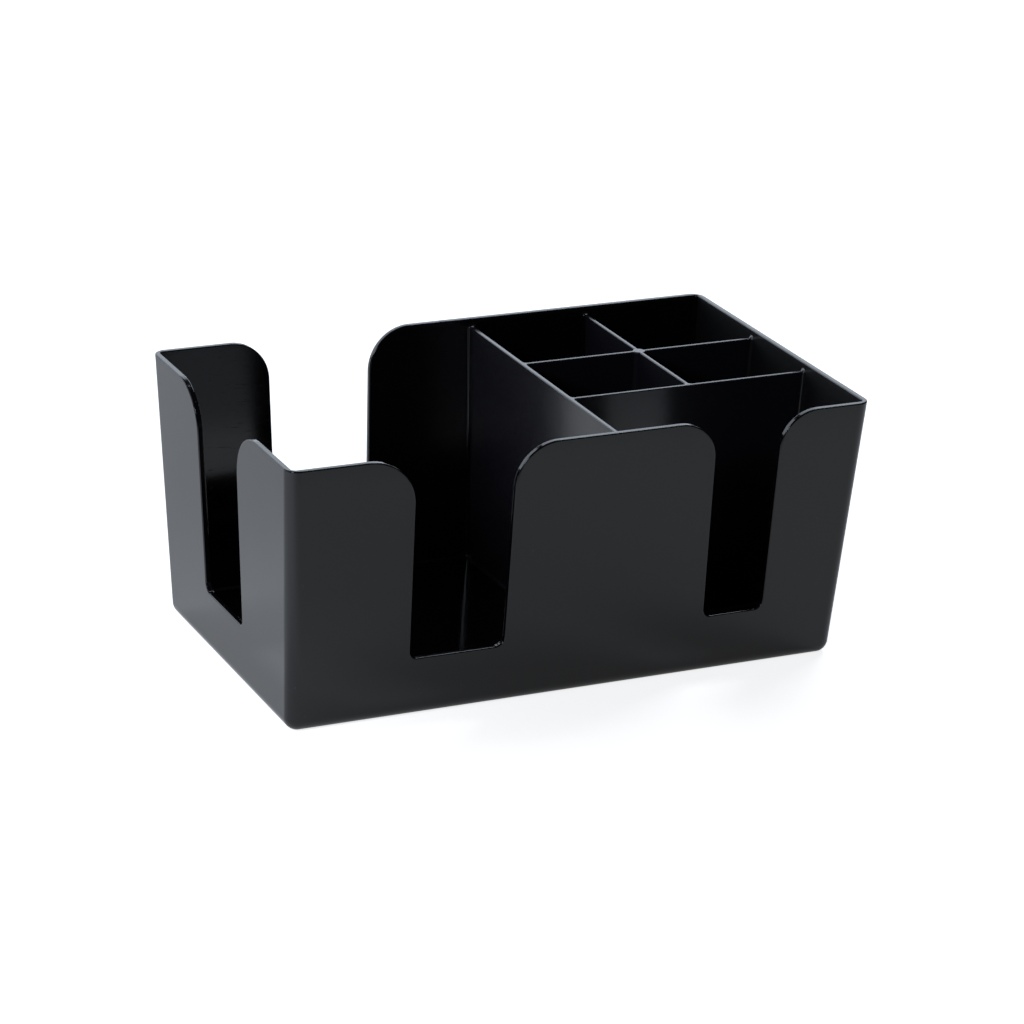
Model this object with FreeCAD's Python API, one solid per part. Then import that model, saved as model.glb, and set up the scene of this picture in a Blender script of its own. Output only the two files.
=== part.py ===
import FreeCAD, Part

import os

# Bar caddy: one open tray with drafted walls and six compartments.
# Millimetres, X along the length, Y from front to back, +Z up.
# The origin is the centre of the footprint, on the surface that the caddy stands on.

# Outer size
top_length = 241.0
top_width = 144.3
base_length = 230.1
base_width = 127.8
height = 107.3
outer_radius = 5.2

# Thicknesses and small radii of the moulding
wall = 2.4
inner_radius = 1.5
rim_radius = 0.5
divider_top_radius = 0.45
floor_top = 6.7
floor_thickness = 2.5
foot_width = 6.0
foot_draft = 0.6

# Dividers: places of their centre lines, thinner at the top than at the foot
divider_top = 104.0
main_divider_x = 15.8
back_cross_y = 20.7
front_cross_y = -22.5
short_divider_x = 66.9
main_divider_thickness = (2.6, 1.9)
cross_divider_thickness = (2.3, 1.5)
short_divider_thickness = (2.3, 1.6)

# Post where the short divider crosses the back cross divider
post_diameter_foot = 6.2
post_diameter_top = 5.2

# U-shaped openings in the walls: the sill's height, then along the wall the left
# side and right side, each at the sill and at the rim, and the four radii
front_left_slot = {
    "sill": 24.5,
    "left": (-67.6, -69.9),
    "right": (-28.8, -29.2),
    "sill_radii": (3.0, 4.0),
    "rim_radii": (19.5, 17.0),
}
front_right_slot = {
    "sill": 24.5,
    "left": (55.9, 53.9),
    "right": (81.6, 82.0),
    "sill_radii": (3.0, 4.0),
    "rim_radii": (16.0, 15.5),
}
left_slot = {
    "sill": 25.7,
    "left": (-18.4, -18.2),
    "right": (20.2, 23.3),
    "sill_radii": (3.0, 4.0),
    "rim_radii": (19.5, 18.0),
}
back_slot = {
    "sill": 24.5,
    "left": (-70.0, -72.5),
    "right": (-30.3, -28.9),
    "sill_radii": (4.0, 3.0),
    "rim_radii": (16.0, 18.0),
}

# Seams between the named pieces run this far outside the rounded inner corners
seam_margin = 0.15
seam_depth = wall + inner_radius + seam_margin

x_draft = (top_length - base_length) / 2 / height
y_draft = (top_width - base_width) / 2 / height
recess_top = floor_top - floor_thickness
far = 300.0


def half_length(z):
    """Half the outer length at height z."""
    return base_length / 2 + x_draft * z


def half_width(z):
    """Half the outer width at height z."""
    return base_width / 2 + y_draft * z


def point(x, y, z):
    return FreeCAD.Vector(x, y, z)


def box(x0, x1, y0, y1, z0, z1):
    return Part.makeBox(x1 - x0, y1 - y0, z1 - z0, point(x0, y0, z0))


def tapered_block(sides, z0, z1):
    """A solid with four flat sloping sides; sides gives x0, x1, y0, y1 as functions of z."""

    def ring(z):
        x0, x1, y0, y1 = [side(z) for side in sides]
        return [point(x0, y0, z), point(x1, y0, z), point(x1, y1, z), point(x0, y1, z)]

    low, high = ring(z0), ring(z1)
    outlines = [low[::-1], high]
    for here in range(4):
        after = (here + 1) % 4
        outlines.append([low[here], low[after], high[after], high[here]])
    faces = [Part.Face(Part.makePolygon(outline + outline[:1])) for outline in outlines]
    return Part.makeSolid(Part.makeShell(faces))


def upright_edges(solid):
    """The edges of a block that run from its foot to its top."""
    return [e for e in solid.Edges if abs(e.tangentAt(e.FirstParameter).z) > 0.9]


def level_edges(solid, z):
    """The edges of a block that lie at height z."""
    return [e for e in solid.Edges if abs(e.BoundBox.ZMin - z) + abs(e.BoundBox.ZMax - z) < 1e-4]


def outer_block():
    """The outside of the caddy, its four corners and the edge under it rounded."""
    sides = (
        lambda z: -half_length(z),
        half_length,
        lambda z: -half_width(z),
        half_width,
    )
    block = tapered_block(sides, 0, height)
    return block.makeFillet(outer_radius, upright_edges(block) + level_edges(block, 0))


# The inner faces of the four walls and the faces of the dividers, as functions of z
left_face = lambda z: -half_length(z) + wall
right_face = lambda z: half_length(z) - wall
front_face = lambda z: -half_width(z) + wall
back_face = lambda z: half_width(z) - wall


def level(value):
    """The same value at every height."""
    return lambda z: value


def divider_face(centre, thickness, side):
    """The face of a divider on side -1 or 1 of its centre line, as a function of z."""
    foot, top = thickness

    def face(z):
        share = (z - floor_top) / (divider_top - floor_top)
        return centre + side * (foot + (top - foot) * share) / 2

    return face


main_left = divider_face(main_divider_x, main_divider_thickness, -1)
main_right = divider_face(main_divider_x, main_divider_thickness, 1)
short_left = divider_face(short_divider_x, short_divider_thickness, -1)
short_right = divider_face(short_divider_x, short_divider_thickness, 1)
back_cross_front = divider_face(back_cross_y, cross_divider_thickness, -1)
back_cross_back = divider_face(back_cross_y, cross_divider_thickness, 1)
front_cross_front = divider_face(front_cross_y, cross_divider_thickness, -1)
front_cross_back = divider_face(front_cross_y, cross_divider_thickness, 1)

centre_line = {
    main_left: main_divider_x,
    main_right: main_divider_x,
    short_left: short_divider_x,
    short_right: short_divider_x,
    back_cross_front: back_cross_y,
    back_cross_back: back_cross_y,
    front_cross_front: front_cross_y,
    front_cross_back: front_cross_y,
}

# The left, right, front and back side of each compartment
compartments = {
    "napkins": (left_face, main_left, front_face, back_face),
    "straws": (main_right, right_face, front_face, front_cross_front),
    "middle_left": (main_right, short_left, front_cross_back, back_cross_front),
    "middle_right": (short_right, right_face, front_cross_back, back_cross_front),
    "back_left": (main_right, short_left, back_cross_back, back_face),
    "back_right": (short_right, right_face, back_cross_back, back_face),
}


def corner_edges(hollow, corners):
    """The upright edges of a hollow at the given corners, each a pair of its sides."""
    found = []
    for edge in upright_edges(hollow):
        middle = edge.CenterOfMass
        for x_side, y_side in corners:
            gap = abs(middle.x - x_side(middle.z)) + abs(middle.y - y_side(middle.z))
            if gap < 0.1 and edge.BoundBox.ZMin < divider_top - 1:
                found.append(edge)
    return found


def widening_edges(hollow, sides):
    """The edges where a hollow widens over the tops of the dividers beside it."""

    def beside_divider(edge):
        middle = edge.valueAt((edge.FirstParameter + edge.LastParameter) / 2)
        gaps = [abs(middle.x - centre_line[side]) for side in sides[:2] if side in centre_line]
        gaps += [abs(middle.y - centre_line[side]) for side in sides[2:] if side in centre_line]
        return min(gaps) > 0.1 and edge.Length > inner_radius

    return [e for e in level_edges(hollow, divider_top) if beside_divider(e)]


def pocket(sides):
    """The hollow of one compartment, which widens to the centre lines above the dividers."""
    reach = [level(centre_line[side]) if side in centre_line else side for side in sides]
    hollow = tapered_block(sides, floor_top, height + 1)
    hollow = hollow.fuse(tapered_block(reach, divider_top, height + 1)).removeSplitter()
    corners = [(x_side, y_side) for x_side in sides[:2] for y_side in sides[2:]]
    between_dividers = [pair for pair in corners if pair[0] in centre_line and pair[1] in centre_line]
    at_walls = [pair for pair in corners if pair not in between_dividers]
    if between_dividers:
        hollow = hollow.makeFillet(inner_radius, corner_edges(hollow, between_dividers))
    hollow = hollow.makeFillet(divider_top_radius, widening_edges(hollow, sides))
    edges = corner_edges(hollow, at_walls) + level_edges(hollow, floor_top)
    return hollow.makeFillet(inner_radius, edges)


def underside_recess():
    """The shallow hollow under the floor, inside the foot that the caddy stands on."""
    sides = (
        lambda z: -half_length(0) + foot_width + foot_draft * z / recess_top,
        lambda z: half_length(0) - foot_width - foot_draft * z / recess_top,
        lambda z: -half_width(0) + foot_width + foot_draft * z / recess_top,
        lambda z: half_width(0) - foot_width - foot_draft * z / recess_top,
    )
    hollow = tapered_block(sides, -recess_top, recess_top)
    return hollow.makeFillet(outer_radius / 2, upright_edges(hollow))


def slot_cutter(slot, place, depth):
    """A U-shaped block that opens upwards; place turns (along the wall, z) into a point."""
    left_sill, left_rim = slot["left"]
    right_sill, right_rim = slot["right"]
    outline = [
        (left_sill, slot["sill"]),
        (left_rim, height),
        (left_rim - 2 * slot["rim_radii"][0], height),
        (left_rim - 2 * slot["rim_radii"][0], height + 5),
        (right_rim + 2 * slot["rim_radii"][1], height + 5),
        (right_rim + 2 * slot["rim_radii"][1], height),
        (right_rim, height),
        (right_sill, slot["sill"]),
    ]
    corners = [place(along, z) for along, z in outline]
    block = Part.Face(Part.makePolygon(corners + corners[:1])).extrude(depth)
    rounded = [
        (corners[0], slot["sill_radii"][0]),
        (corners[7], slot["sill_radii"][1]),
        (corners[1], slot["rim_radii"][0]),
        (corners[6], slot["rim_radii"][1]),
    ]
    for corner, radius in rounded:
        middle = corner + depth * 0.5
        edge = min(block.Edges, key=lambda e: (e.CenterOfMass - middle).Length)
        block = block.makeFillet(radius, [edge])
    return block


def slot_cutters():
    reach = 25.0
    front_y = -half_width(height) - 5
    back_y = half_width(height) + 5
    left_x = -half_length(height) - 5
    return [
        slot_cutter(front_left_slot, lambda x, z: point(x, front_y, z), point(0, reach, 0)),
        slot_cutter(front_right_slot, lambda x, z: point(x, front_y, z), point(0, reach, 0)),
        slot_cutter(back_slot, lambda x, z: point(x, back_y, z), point(0, -reach, 0)),
        slot_cutter(left_slot, lambda y, z: point(left_x, y, z), point(reach, 0, 0)),
    ]


def depth_in_wall(p):
    """How far a point is inside the nearest outer face."""
    return min(half_length(p.z) - abs(p.x), half_width(p.z) - abs(p.y))


def is_rim_edge(edge):
    """True for the edges that bound the rim and the U-shaped openings, inside and out."""
    ends = [edge.valueAt(edge.FirstParameter), edge.valueAt(edge.LastParameter)]
    middle = edge.valueAt((edge.FirstParameter + edge.LastParameter) / 2)
    across = abs(depth_in_wall(ends[0]) - depth_in_wall(ends[1])) > 0.8
    if across or depth_in_wall(middle) > wall + 0.8:
        return False
    if abs(edge.BoundBox.ZMin - height) < 1e-4:
        return True
    if edge.BoundBox.ZMin < min(front_left_slot["sill"], left_slot["sill"]) - 1:
        return False
    on_side_wall = half_length(middle.z) - abs(middle.x) < wall + 1
    at_corner = abs(middle.x) > half_length(middle.z) - 9 and abs(middle.y) > half_width(middle.z) - 9
    at_main_divider = abs(middle.x - main_divider_x) < 6
    at_short_divider = abs(middle.x - short_divider_x) < 6 and middle.y > 0
    at_cross_divider = on_side_wall and middle.x > 0
    return not (at_corner or at_main_divider or at_short_divider or at_cross_divider)


def moulding():
    """The whole caddy with its rounded edges, before it is parted into named pieces."""
    body = outer_block()
    hollows = [pocket(sides) for sides in compartments.values()]
    body = body.cut(hollows + [underside_recess()])
    post = Part.makeCone(
        post_diameter_foot / 2,
        post_diameter_top / 2,
        divider_top - floor_top,
        point(short_divider_x, back_cross_y, floor_top),
    )
    body = body.fuse(post.makeFillet(divider_top_radius, level_edges(post, divider_top)))
    body = body.cut(slot_cutters()).removeSplitter()
    rim_edges = [e for e in body.Edges if is_rim_edge(e)]
    return body.makeFillet(rim_radius, rim_edges)


def slab_in_front_of(depth):
    """Everything above the floor and nearer to the front than that depth in from the face."""
    corners = [
        point(-far, -far, floor_top),
        point(-far, -half_width(floor_top) + depth, floor_top),
        point(-far, -half_width(height + 5) + depth, height + 5),
        point(-far, -far, height + 5),
    ]
    return Part.Face(Part.makePolygon(corners + corners[:1])).extrude(point(2 * far, 0, 0))


def slab_left_of(depth):
    """Everything above the floor and further left than that depth in from the face."""
    corners = [
        point(-far, -far, floor_top),
        point(-half_length(floor_top) + depth, -far, floor_top),
        point(-half_length(height + 5) + depth, -far, height + 5),
        point(-far, -far, height + 5),
    ]
    return Part.Face(Part.makePolygon(corners + corners[:1])).extrude(point(0, 2 * far, 0))


def pieces(body):
    """Parts the moulding into its named pieces, which meet face to face."""
    turn = point(0, 0, 1)
    origin = point(0, 0, 0)
    front = slab_in_front_of(seam_depth)
    back = front.copy().rotate(origin, turn, 180)
    left = slab_left_of(seam_depth)
    right = left.copy().rotate(origin, turn, 180)
    main_reach = main_divider_thickness[0] / 2 + inner_radius + seam_margin
    cross_reach = cross_divider_thickness[0] / 2 + inner_radius + seam_margin
    post_reach = post_diameter_foot / 2 + inner_radius + seam_margin

    def band(x, y, reach_x, reach_y):
        return box(x - reach_x, x + reach_x, y - reach_y, y + reach_y, floor_top, height + 5)

    inside = body.common(box(-far, far, -far, far, floor_top, height + 5))
    inside = inside.cut([front, back, left, right])
    post = band(short_divider_x, back_cross_y, post_reach, post_reach)
    main = band(main_divider_x, 0, main_reach, far)
    crosses = {
        "back_cross_divider": band(0, back_cross_y, far, cross_reach),
        "front_cross_divider": band(0, front_cross_y, far, cross_reach),
    }
    walls = body.cut(box(-far, far, -far, far, -1, floor_top))
    found = {
        "foot_rim": body.common(box(-far, far, -far, far, -1, recess_top)),
        "floor_panel": body.common(box(-far, far, -far, far, recess_top, floor_top)),
        "front_wall": walls.common(front),
        "back_wall": walls.common(back),
        "left_wall": walls.common(left).cut([front, back]),
        "right_wall": walls.common(right).cut([front, back]),
        "main_divider": inside.common(main),
        "divider_post": inside.common(post),
    }
    for name, region in crosses.items():
        found[name] = inside.common(region).cut([main, post])
    found["short_divider"] = inside.cut([main, post] + list(crosses.values()))
    return found


def main():
    os.makedirs("parts", exist_ok=True)
    body = moulding()
    found = pieces(body)
    for name, shape in found.items():
        solids = shape.Solids
        print(f"{name}: {len(solids)} solids, {shape.Volume / 1000:.2f} cm3, valid {shape.isValid()}")
        Part.makeCompound(solids).exportStep(f"parts/{name}.step")
    total = sum(shape.Volume for shape in found.values())
    print(f"whole: {body.Volume / 1000:.3f} cm3, pieces: {total / 1000:.3f} cm3")


main()
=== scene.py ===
import math

import bpy
import bmesh
from mathutils import Matrix, Vector

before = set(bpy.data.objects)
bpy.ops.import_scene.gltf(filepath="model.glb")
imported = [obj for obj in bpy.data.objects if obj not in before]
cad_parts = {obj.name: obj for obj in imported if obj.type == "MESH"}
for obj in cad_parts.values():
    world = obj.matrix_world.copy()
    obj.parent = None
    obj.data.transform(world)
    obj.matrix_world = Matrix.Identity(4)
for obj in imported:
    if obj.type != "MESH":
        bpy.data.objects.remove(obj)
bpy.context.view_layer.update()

MM = 0.001

# Camera, from the vanishing directions and edges of the photograph
CAMERA_PLACE = Vector((-0.6075, -1.2671, 0.5901))
CAMERA_AIM = Vector((0.0043, 0.0011, 0.050))
CAMERA_ROLL = math.radians(2.4055)
CAMERA_LENS = 134.855
SENSOR = 36.0
NEAREST_SEEN = 0.05
FARTHEST_SEEN = 50

# Colours, as sRGB hex
BLACK_ABS = "#09080b"
DIVIDER_BLACK = "#18171d"
DUST_GREY = "#8b8d92"
FLOOR_WHITE = "#f4f4f4"
LAMP_WHITE = "#e8f2ff"

ABS_IOR = 1.5

# Rubbed foot and rim: the heights between which the wear fades, the size of its breaks, and how
# much paler and rougher it makes the plastic. The paler foot is also a painted reflection of the
# bright floor in its rounded edge, besides real wear.
FOOT_WEAR_AND_SHEEN_TOP = 1.5 * MM
RIM_WEAR_FOOT = 105 * MM
RIM_TOP = 107.3 * MM
RIM_WEAR = 0.6
WEAR_AND_SHEEN_BREAKS = 3 * MM
WEAR_AND_FOOT_SHEEN_PALENESS = 0.06
WORN_ROUGHNESS = 0.25

# Hairline scratches. Real ones are about 0.05 mm wide, and these are drawn four times as wide so
# that they show. Only the crests of their noise count, between the faintest and the full one.
SCRATCH_LENGTH = 5 * MM
SCRATCH_WIDTH = 0.22 * MM
SCRATCH_DEPTH = 0.003 * MM
FAINTEST_CREST = 0.74
FULL_CREST = 0.82
SCRATCH_ROUGHNESS = 0.15

# Specks of dust: one in the middle of a cell, its radius as a share of the cell, in the cells
# whose random grey is above the limit
SPECK_CELL = 4.5 * MM
SPECK_RADIUS = 0.05
SPECK_CELL_LIMIT = 0.62
SPECK_PALENESS = 0.2

# Film of dust. On the right wall it starts this deep inside the end's outer face, which stands
# at half the foot's length and leans out with height.
FILM_ROUGHNESS = 0.5
FILM_START = 2 * MM
FILM_FADE = 0.2 * MM
HALF_FOOT_LENGTH = 115.05 * MM
END_DRAFT = 0.0508

# Patches of haze, the warp of a cooled wall, and the grain of the mould
HAZE_PATCH = 38 * MM
CLEAR_NOISE = 0.3
HAZY_NOISE = 0.7
WARP_LENGTH = 45 * MM
WARP_DEPTH = 0.08 * MM
GRAIN_WIDTH = 0.7 * MM
GRAIN_DEPTH = 0.004 * MM

# How much the floor is lifted towards white where the camera sees it, and where it is mirrored.
# The photographed walls mirror a floor that is dimmer than the white background, and darker
# still some way in front of the caddy.
FLOOR_LIFT_SEEN = 0.8
FLOOR_LIFT_MIRRORED = 0.28
FLOOR_BRIGHT_TO_Y = -240 * MM
FLOOR_DARK_FROM_Y = -300 * MM
FLOOR_HALF_SIZE = 6.0

# Light: lengths in metres, the pool's power in watts
WORLD_LIGHT = 0.03
LAMP_DISTANCE = 2.0
POOL_PLACE = Vector((-0.24, -0.07, 0.0))
POOL_LAMP_PLACE = Vector((-0.75, -0.6, 0.8))
POOL_LAMP_RADIUS = 0.05
POOL_POWER = 26.0
POOL_CONE = math.radians(18)


def linear(hex_colour):
    """An sRGB hex colour as the linear RGBA that the shaders take."""
    channels = [int(hex_colour[i : i + 2], 16) / 255 for i in (1, 3, 5)]
    return [c / 12.92 if c <= 0.04045 else ((c + 0.055) / 1.055) ** 2.4 for c in channels] + [1.0]


def add_node(tree, kind, inputs=None, **settings):
    """Adds a shader node; inputs maps a socket's name or number to a value or another socket."""
    node = tree.nodes.new(kind)
    for name, value in settings.items():
        setattr(node, name, value)
    for socket, value in (inputs or {}).items():
        if isinstance(value, bpy.types.NodeSocket):
            tree.links.new(value, node.inputs[socket])
        else:
            node.inputs[socket].default_value = value
    return node


def new_material(name):
    material = bpy.data.materials.new(name)
    material.use_nodes = True
    material.node_tree.nodes.clear()
    return material, material.node_tree


def rubbed_foot_and_rim(tree, place, height):
    """Broken wear, from 0 to 1, where the foot rubs on the counter and hands rub the rim. At the
    foot its paleness is also a painted reflection of the bright floor in the rounded edge.
    """
    # The foot band is rubbed wear and also a painted reflection of the bright floor.
    foot = add_node(
        tree,
        "ShaderNodeMapRange",
        {"Value": height, "From Min": 0.0, "From Max": FOOT_WEAR_AND_SHEEN_TOP, "To Min": 1.0, "To Max": 0.0},
    )
    rim = add_node(
        tree,
        "ShaderNodeMapRange",
        {
            "Value": height,
            "From Min": RIM_WEAR_FOOT,
            "From Max": RIM_TOP,
            "To Min": 0.0,
            "To Max": RIM_WEAR,
        },
    )
    rubbed = add_node(
        tree, "ShaderNodeMath", {0: foot.outputs[0], 1: rim.outputs[0]}, operation="MAXIMUM"
    )
    breaks = add_node(
        tree, "ShaderNodeTexNoise", {"Vector": place, "Scale": 1 / WEAR_AND_SHEEN_BREAKS, "Detail": 3.0}
    )
    wear_and_foot_sheen = add_node(
        tree,
        "ShaderNodeMath",
        {0: rubbed.outputs[0], 1: breaks.outputs["Fac"]},
        operation="MULTIPLY",
    )
    return wear_and_foot_sheen.outputs[0]


def hairline_scratches(tree, place):
    """Noise drawn out level, of which only the crests are kept, from 0 to 1."""
    drawn_out = add_node(
        tree,
        "ShaderNodeMapping",
        {"Vector": place, "Scale": (1 / SCRATCH_LENGTH, 1 / SCRATCH_LENGTH, 1 / SCRATCH_WIDTH)},
    )
    streaks = add_node(
        tree, "ShaderNodeTexNoise", {"Vector": drawn_out.outputs[0], "Scale": 1.0, "Detail": 0.0}
    )
    scratches = add_node(
        tree,
        "ShaderNodeMapRange",
        {"Value": streaks.outputs["Fac"], "From Min": FAINTEST_CREST, "From Max": FULL_CREST},
    )
    return scratches.outputs[0]


def dust_specks(tree, place):
    """Round specks in some of the cells of a cell pattern, 1 in a speck and 0 elsewhere."""
    cells = add_node(tree, "ShaderNodeTexVoronoi", {"Vector": place, "Scale": 1 / SPECK_CELL})
    speck = add_node(
        tree,
        "ShaderNodeMath",
        {0: cells.outputs["Distance"], 1: SPECK_RADIUS},
        operation="LESS_THAN",
    )
    chosen = add_node(
        tree,
        "ShaderNodeMath",
        {0: cells.outputs["Color"], 1: SPECK_CELL_LIMIT},
        operation="GREATER_THAN",
    )
    dust = add_node(
        tree, "ShaderNodeMath", {0: speck.outputs[0], 1: chosen.outputs[0]}, operation="MULTIPLY"
    )
    return dust.outputs[0]


def colour_of_marks(tree, black, wear_and_foot_sheen, dust, use):
    """The plastic's own black, turned paler by specks of dust, by wear, and at the foot by a
    painted reflection of the bright floor.
    """
    faint_dust = add_node(
        tree, "ShaderNodeMath", {0: dust, 1: SPECK_PALENESS * use}, operation="MULTIPLY"
    )
    # The paleness is wear. At the foot it is also a painted reflection of the bright floor.
    pale_wear_and_foot_sheen = add_node(tree, "ShaderNodeMath", {0: wear_and_foot_sheen, 1: WEAR_AND_FOOT_SHEEN_PALENESS}, operation="MULTIPLY")
    paleness = add_node(
        tree,
        "ShaderNodeMath",
        {0: faint_dust.outputs[0], 1: pale_wear_and_foot_sheen.outputs[0]},
        operation="MAXIMUM",
    )
    # The Mix node's colours are its sockets 6 and 7, and its mixed colour is output 2
    colour = add_node(
        tree,
        "ShaderNodeMix",
        {0: paleness.outputs[0], 6: linear(black), 7: linear(DUST_GREY)},
        data_type="RGBA",
    )
    return colour.outputs[2]


def roughness_of_marks(tree, place, clear, hazy, wear_and_foot_sheen, scratches, use):
    """Clear plastic with soft patches of haze, rougher in scratches and where it is worn."""
    haze = add_node(
        tree, "ShaderNodeTexNoise", {"Vector": place, "Scale": 1 / HAZE_PATCH, "Detail": 3.0}
    )
    hazed = add_node(
        tree,
        "ShaderNodeMapRange",
        {
            "Value": haze.outputs["Fac"],
            "From Min": CLEAR_NOISE,
            "From Max": HAZY_NOISE,
            "To Min": clear,
            "To Max": hazy,
        },
    )
    dulled = add_node(tree, "ShaderNodeMath", {0: wear_and_foot_sheen, 1: WORN_ROUGHNESS}, operation="MULTIPLY")
    scratched = add_node(
        tree, "ShaderNodeMath", {0: scratches, 1: SCRATCH_ROUGHNESS * use}, operation="MULTIPLY"
    )
    marks = add_node(
        tree, "ShaderNodeMath", {0: dulled.outputs[0], 1: scratched.outputs[0]}, operation="ADD"
    )
    roughness = add_node(
        tree,
        "ShaderNodeMath",
        {0: hazed.outputs[0], 1: marks.outputs[0]},
        operation="ADD",
        use_clamp=True,
    )
    return roughness.outputs[0]


def moulded_relief(tree, place, scratches, use):
    """The slight warp of a cooled wall, a very fine grain, and the cut of each scratch."""
    warp = add_node(
        tree, "ShaderNodeTexNoise", {"Vector": place, "Scale": 1 / WARP_LENGTH, "Detail": 1.0}
    )
    warped = add_node(
        tree,
        "ShaderNodeBump",
        {"Height": warp.outputs["Fac"], "Distance": WARP_DEPTH, "Strength": 1.0},
    )
    grain = add_node(
        tree, "ShaderNodeTexNoise", {"Vector": place, "Scale": 1 / GRAIN_WIDTH, "Detail": 2.0}
    )
    grained = add_node(
        tree,
        "ShaderNodeBump",
        {
            "Height": grain.outputs["Fac"],
            "Distance": GRAIN_DEPTH,
            "Strength": 1.0,
            "Normal": warped.outputs["Normal"],
        },
    )
    cut = add_node(
        tree,
        "ShaderNodeBump",
        {
            "Height": scratches,
            "Distance": SCRATCH_DEPTH * use,
            "Strength": 1.0,
            "Normal": grained.outputs["Normal"],
        },
        invert=True,
    )
    return cut.outputs["Normal"]


def film_inside_right_end(tree, across, height, film):
    """The film on the right wall's inside alone, so that its outside matches its neighbours."""
    outer_face = add_node(
        tree,
        "ShaderNodeMath",
        {0: height, 1: END_DRAFT, 2: HALF_FOOT_LENGTH},
        operation="MULTIPLY_ADD",
    )
    depth = add_node(
        tree, "ShaderNodeMath", {0: outer_face.outputs[0], 1: across}, operation="SUBTRACT"
    )
    inside = add_node(
        tree,
        "ShaderNodeMapRange",
        {
            "Value": depth.outputs[0],
            "From Min": FILM_START,
            "From Max": FILM_START + FILM_FADE,
            "To Min": 0.0,
            "To Max": film,
        },
    )
    return inside.outputs[0]


def moulded_black_abs(name, black, clear, hazy, use, film, film_only_inside=False):
    """ABS coloured black in the mass and moulded against steel.

    Polished steel gives deep black faces that mirror sharply at a low angle, and a less polished
    core gives duller ones: clear and hazy are the roughness at the clearest and haziest patches.
    Use on a bar, from 0 to 1, adds hairline scratches and specks of dust. A film of fine dust,
    from 0 to 1, scatters a broad faint sheen. The foot and rim are rubbed paler, and the paler
    foot is also a painted reflection of the bright floor.
    """
    material, tree = new_material(name)
    place = add_node(tree, "ShaderNodeTexCoord").outputs["Object"]
    parts = add_node(tree, "ShaderNodeSeparateXYZ", {0: place})
    across, height = parts.outputs["X"], parts.outputs["Z"]

    wear_and_foot_sheen = rubbed_foot_and_rim(tree, place, height)
    scratches = hairline_scratches(tree, place)
    dust = dust_specks(tree, place)
    coat = film_inside_right_end(tree, across, height, film) if film_only_inside else film
    plastic = add_node(
        tree,
        "ShaderNodeBsdfPrincipled",
        {
            "Base Color": colour_of_marks(tree, black, wear_and_foot_sheen, dust, use),
            "Roughness": roughness_of_marks(tree, place, clear, hazy, wear_and_foot_sheen, scratches, use),
            "IOR": ABS_IOR,
            "Coat Weight": coat,
            "Coat Roughness": FILM_ROUGHNESS,
            "Coat IOR": ABS_IOR,
            "Normal": moulded_relief(tree, place, scratches, use),
        },
    )
    add_node(tree, "ShaderNodeOutputMaterial", {"Surface": plastic.outputs[0]})
    return material


def white_paper_floor():
    """Matt white paper, lifted towards white where it is seen.

    Where the plastic mirrors it, the lift is small, and it is gone some way in front.
    """
    material, tree = new_material("white_paper_floor")
    paper = add_node(tree, "ShaderNodeBsdfDiffuse", {"Color": linear(FLOOR_WHITE)})
    path = add_node(tree, "ShaderNodeLightPath")
    mirrored = add_node(
        tree,
        "ShaderNodeMath",
        {0: path.outputs["Is Glossy Ray"], 1: path.outputs["Is Transmission Ray"]},
        operation="ADD",
        use_clamp=True,
    )
    place = add_node(tree, "ShaderNodeTexCoord").outputs["Object"]
    parts = add_node(tree, "ShaderNodeSeparateXYZ", {0: place})
    mirrored_lift = add_node(
        tree,
        "ShaderNodeMapRange",
        {
            "Value": parts.outputs["Y"],
            "From Min": FLOOR_BRIGHT_TO_Y,
            "From Max": FLOOR_DARK_FROM_Y,
            "To Min": FLOOR_LIFT_MIRRORED,
            "To Max": 0.0,
        },
    )
    seen_lift = add_node(
        tree,
        "ShaderNodeMath",
        {0: path.outputs["Is Camera Ray"], 1: FLOOR_LIFT_SEEN},
        operation="MULTIPLY",
    )
    lift = add_node(
        tree,
        "ShaderNodeMath",
        {0: mirrored.outputs[0], 1: mirrored_lift.outputs[0], 2: seen_lift.outputs[0]},
        operation="MULTIPLY_ADD",
    )
    glow = add_node(tree, "ShaderNodeEmission", {"Strength": lift.outputs[0]})
    both = add_node(tree, "ShaderNodeAddShader", {0: paper.outputs[0], 1: glow.outputs[0]})
    add_node(tree, "ShaderNodeOutputMaterial", {"Surface": both.outputs[0]})
    return material


def add_floor():
    shape = bmesh.new()
    bmesh.ops.create_grid(shape, x_segments=1, y_segments=1, size=FLOOR_HALF_SIZE)
    mesh = bpy.data.meshes.new("floor")
    shape.to_mesh(mesh)
    shape.free()
    mesh.materials.append(white_paper_floor())
    floor = bpy.data.objects.new("floor", mesh)
    bpy.context.scene.collection.objects.link(floor)


def place_lamp(light, place, towards_lamp):
    """Puts a lamp at its place, facing back along the direction that leads to it."""
    light.color = linear(LAMP_WHITE)[:3]
    lamp = bpy.data.objects.new(light.name, light)
    lamp.location = place
    lamp.rotation_euler = towards_lamp.to_track_quat("Z", "Y").to_euler()
    bpy.context.scene.collection.objects.link(lamp)


def add_softbox(name, azimuth, elevation, width, height, brightness):
    """A soft lamp that faces the caddy; azimuth in degrees from +X, brightness 1 shows as white."""
    turn, rise = math.radians(azimuth), math.radians(elevation)
    level = math.cos(rise)
    towards_lamp = Vector((math.cos(turn) * level, math.sin(turn) * level, math.sin(rise)))
    light = bpy.data.lights.new(name, "AREA")
    light.shape = "RECTANGLE"
    light.size = width
    light.size_y = height
    light.energy = brightness * math.pi * width * height
    place_lamp(light, towards_lamp * LAMP_DISTANCE, towards_lamp)


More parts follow.
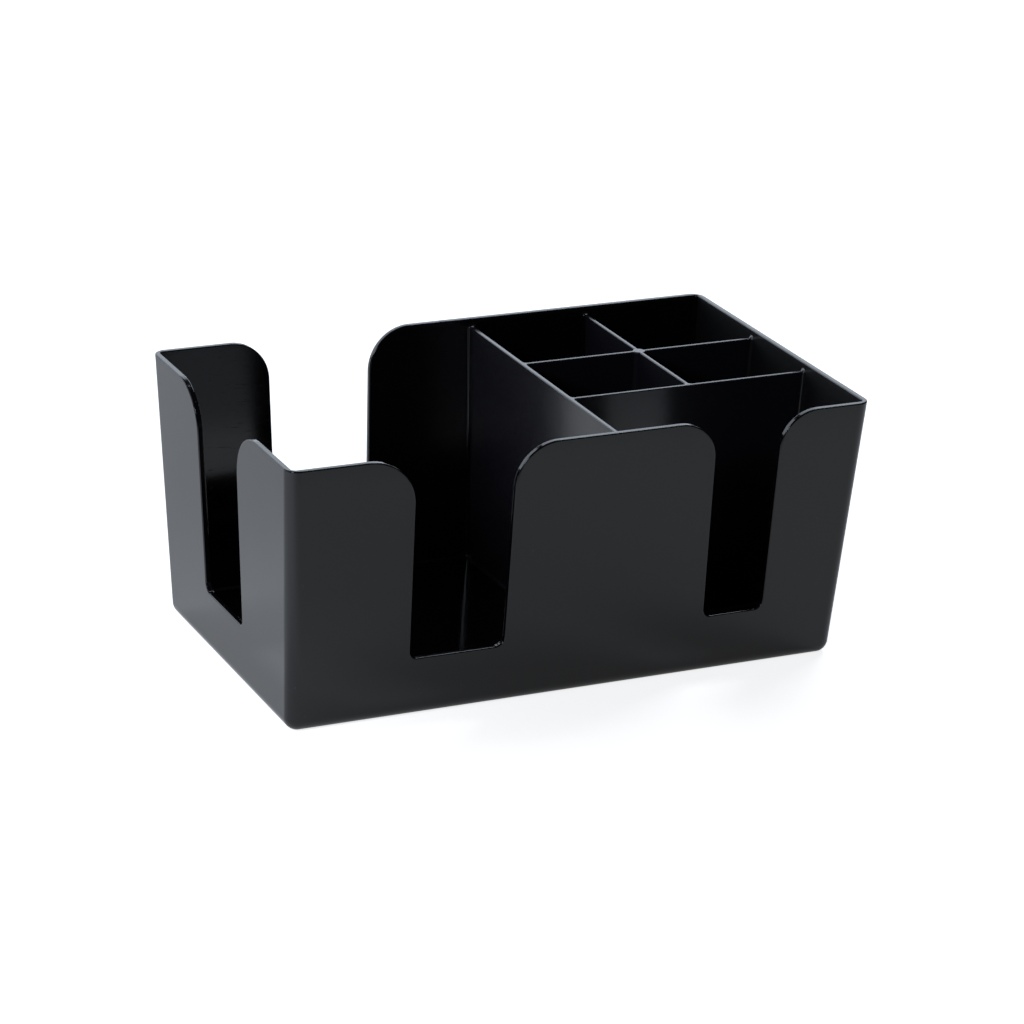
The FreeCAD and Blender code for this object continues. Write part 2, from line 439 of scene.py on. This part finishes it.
def add_pool_of_light():
    """A soft spot on the floor at the front left, which the rounded corner and foot mirror."""
    light = bpy.data.lights.new("pool_of_light", "SPOT")
    light.spot_size = POOL_CONE
    light.spot_blend = 1.0
    light.shadow_soft_size = POOL_LAMP_RADIUS
    light.energy = POOL_POWER
    place_lamp(light, POOL_LAMP_PLACE, POOL_LAMP_PLACE - POOL_PLACE)


def add_camera():
    forward = (CAMERA_AIM - CAMERA_PLACE).normalized()
    level_right = forward.cross(Vector((0, 0, 1))).normalized()
    level_up = level_right.cross(forward)
    right = level_right * math.cos(CAMERA_ROLL) + level_up * math.sin(CAMERA_ROLL)
    up = level_up * math.cos(CAMERA_ROLL) - level_right * math.sin(CAMERA_ROLL)
    data = bpy.data.cameras.new("camera")
    data.sensor_width = SENSOR
    data.lens = CAMERA_LENS
    data.clip_start = NEAREST_SEEN
    data.clip_end = FARTHEST_SEEN
    camera = bpy.data.objects.new("camera", data)
    turn = Matrix((right, up, -forward)).transposed().to_4x4()
    camera.matrix_world = Matrix.Translation(CAMERA_PLACE) @ turn
    bpy.context.scene.collection.objects.link(camera)
    bpy.context.scene.camera = camera


def set_world():
    world = bpy.data.worlds.new("studio")
    world.use_nodes = True
    tree = world.node_tree
    tree.nodes.clear()
    sky = add_node(
        tree, "ShaderNodeBackground", {"Color": linear(LAMP_WHITE), "Strength": WORLD_LIGHT}
    )
    add_node(tree, "ShaderNodeOutputWorld", {"Surface": sky.outputs[0]})
    bpy.context.scene.world = world


# Walls, floor and foot mirror sharply. The right wall does so too, under a film of dust on its
# inside. The dividers are duller, a little paler and thinly dusted.
polished = moulded_black_abs(
    "polished_black_abs", BLACK_ABS, clear=0.07, hazy=0.13, use=1.0, film=0.0
)
dusty = moulded_black_abs(
    "dusty_polished_black_abs",
    BLACK_ABS,
    clear=0.07,
    hazy=0.13,
    use=1.0,
    film=0.6,
    film_only_inside=True,
)
dull = moulded_black_abs(
    "dull_black_abs", DIVIDER_BLACK, clear=0.15, hazy=0.21, use=0.2, film=0.25
)
for name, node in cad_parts.items():
    node.data.materials.clear()
    if "divider" in name:
        node.data.materials.append(dull)
    elif name == "right_wall":
        node.data.materials.append(dusty)
    else:
        node.data.materials.append(polished)

add_floor()
set_world()
add_softbox("back_softbox", azimuth=62, elevation=25, width=1.7, height=1.3, brightness=1.8)
add_softbox("back_left_softbox", azimuth=115, elevation=19, width=1.8, height=1.2, brightness=1.8)
add_softbox("left_softbox", azimuth=165, elevation=30, width=1.6, height=0.8, brightness=1.6)
add_softbox("top_softbox", azimuth=30, elevation=60, width=0.6, height=0.5, brightness=7.0)
add_softbox("key_softbox", azimuth=215, elevation=27, width=0.4, height=0.4, brightness=14.0)
add_pool_of_light()
add_camera()
bpy.context.scene.view_settings.view_transform = "Standard"
